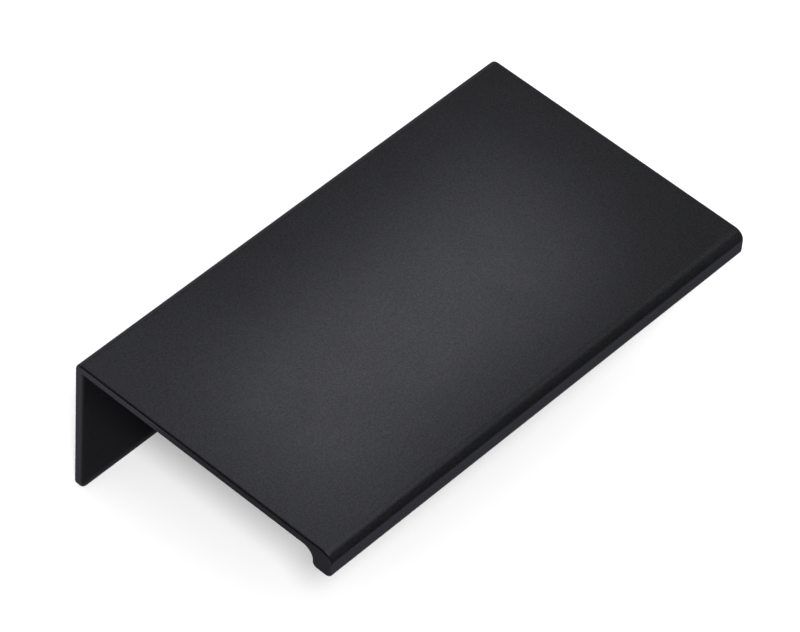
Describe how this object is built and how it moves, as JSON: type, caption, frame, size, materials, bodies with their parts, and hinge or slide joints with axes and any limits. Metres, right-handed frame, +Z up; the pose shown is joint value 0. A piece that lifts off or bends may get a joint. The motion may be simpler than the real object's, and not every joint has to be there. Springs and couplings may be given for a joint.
{
  "type": "tab pull",
  "caption": "Matte black L-shaped tab pull: a flat plate with a screw-on leg behind and a rounded finger lip in front, fitted over the edge of a drawer or door front.",
  "frame": {"origin": "midway between the two screw holes, on the face of the leg that seats on the back of the front panel", "axes": "+X along the length, -Y forward from the leg to the finger lip, +Z up, with the plate on top"},
  "size_m": [0.07, 0.04, 0.0214],
  "materials": {
    "black_coat": "fine matte black powder coat on extruded aluminium"
  },
  "bodies": {
    "root": {"tab_pull": "black_coat"}
  },
  "joints": []
}
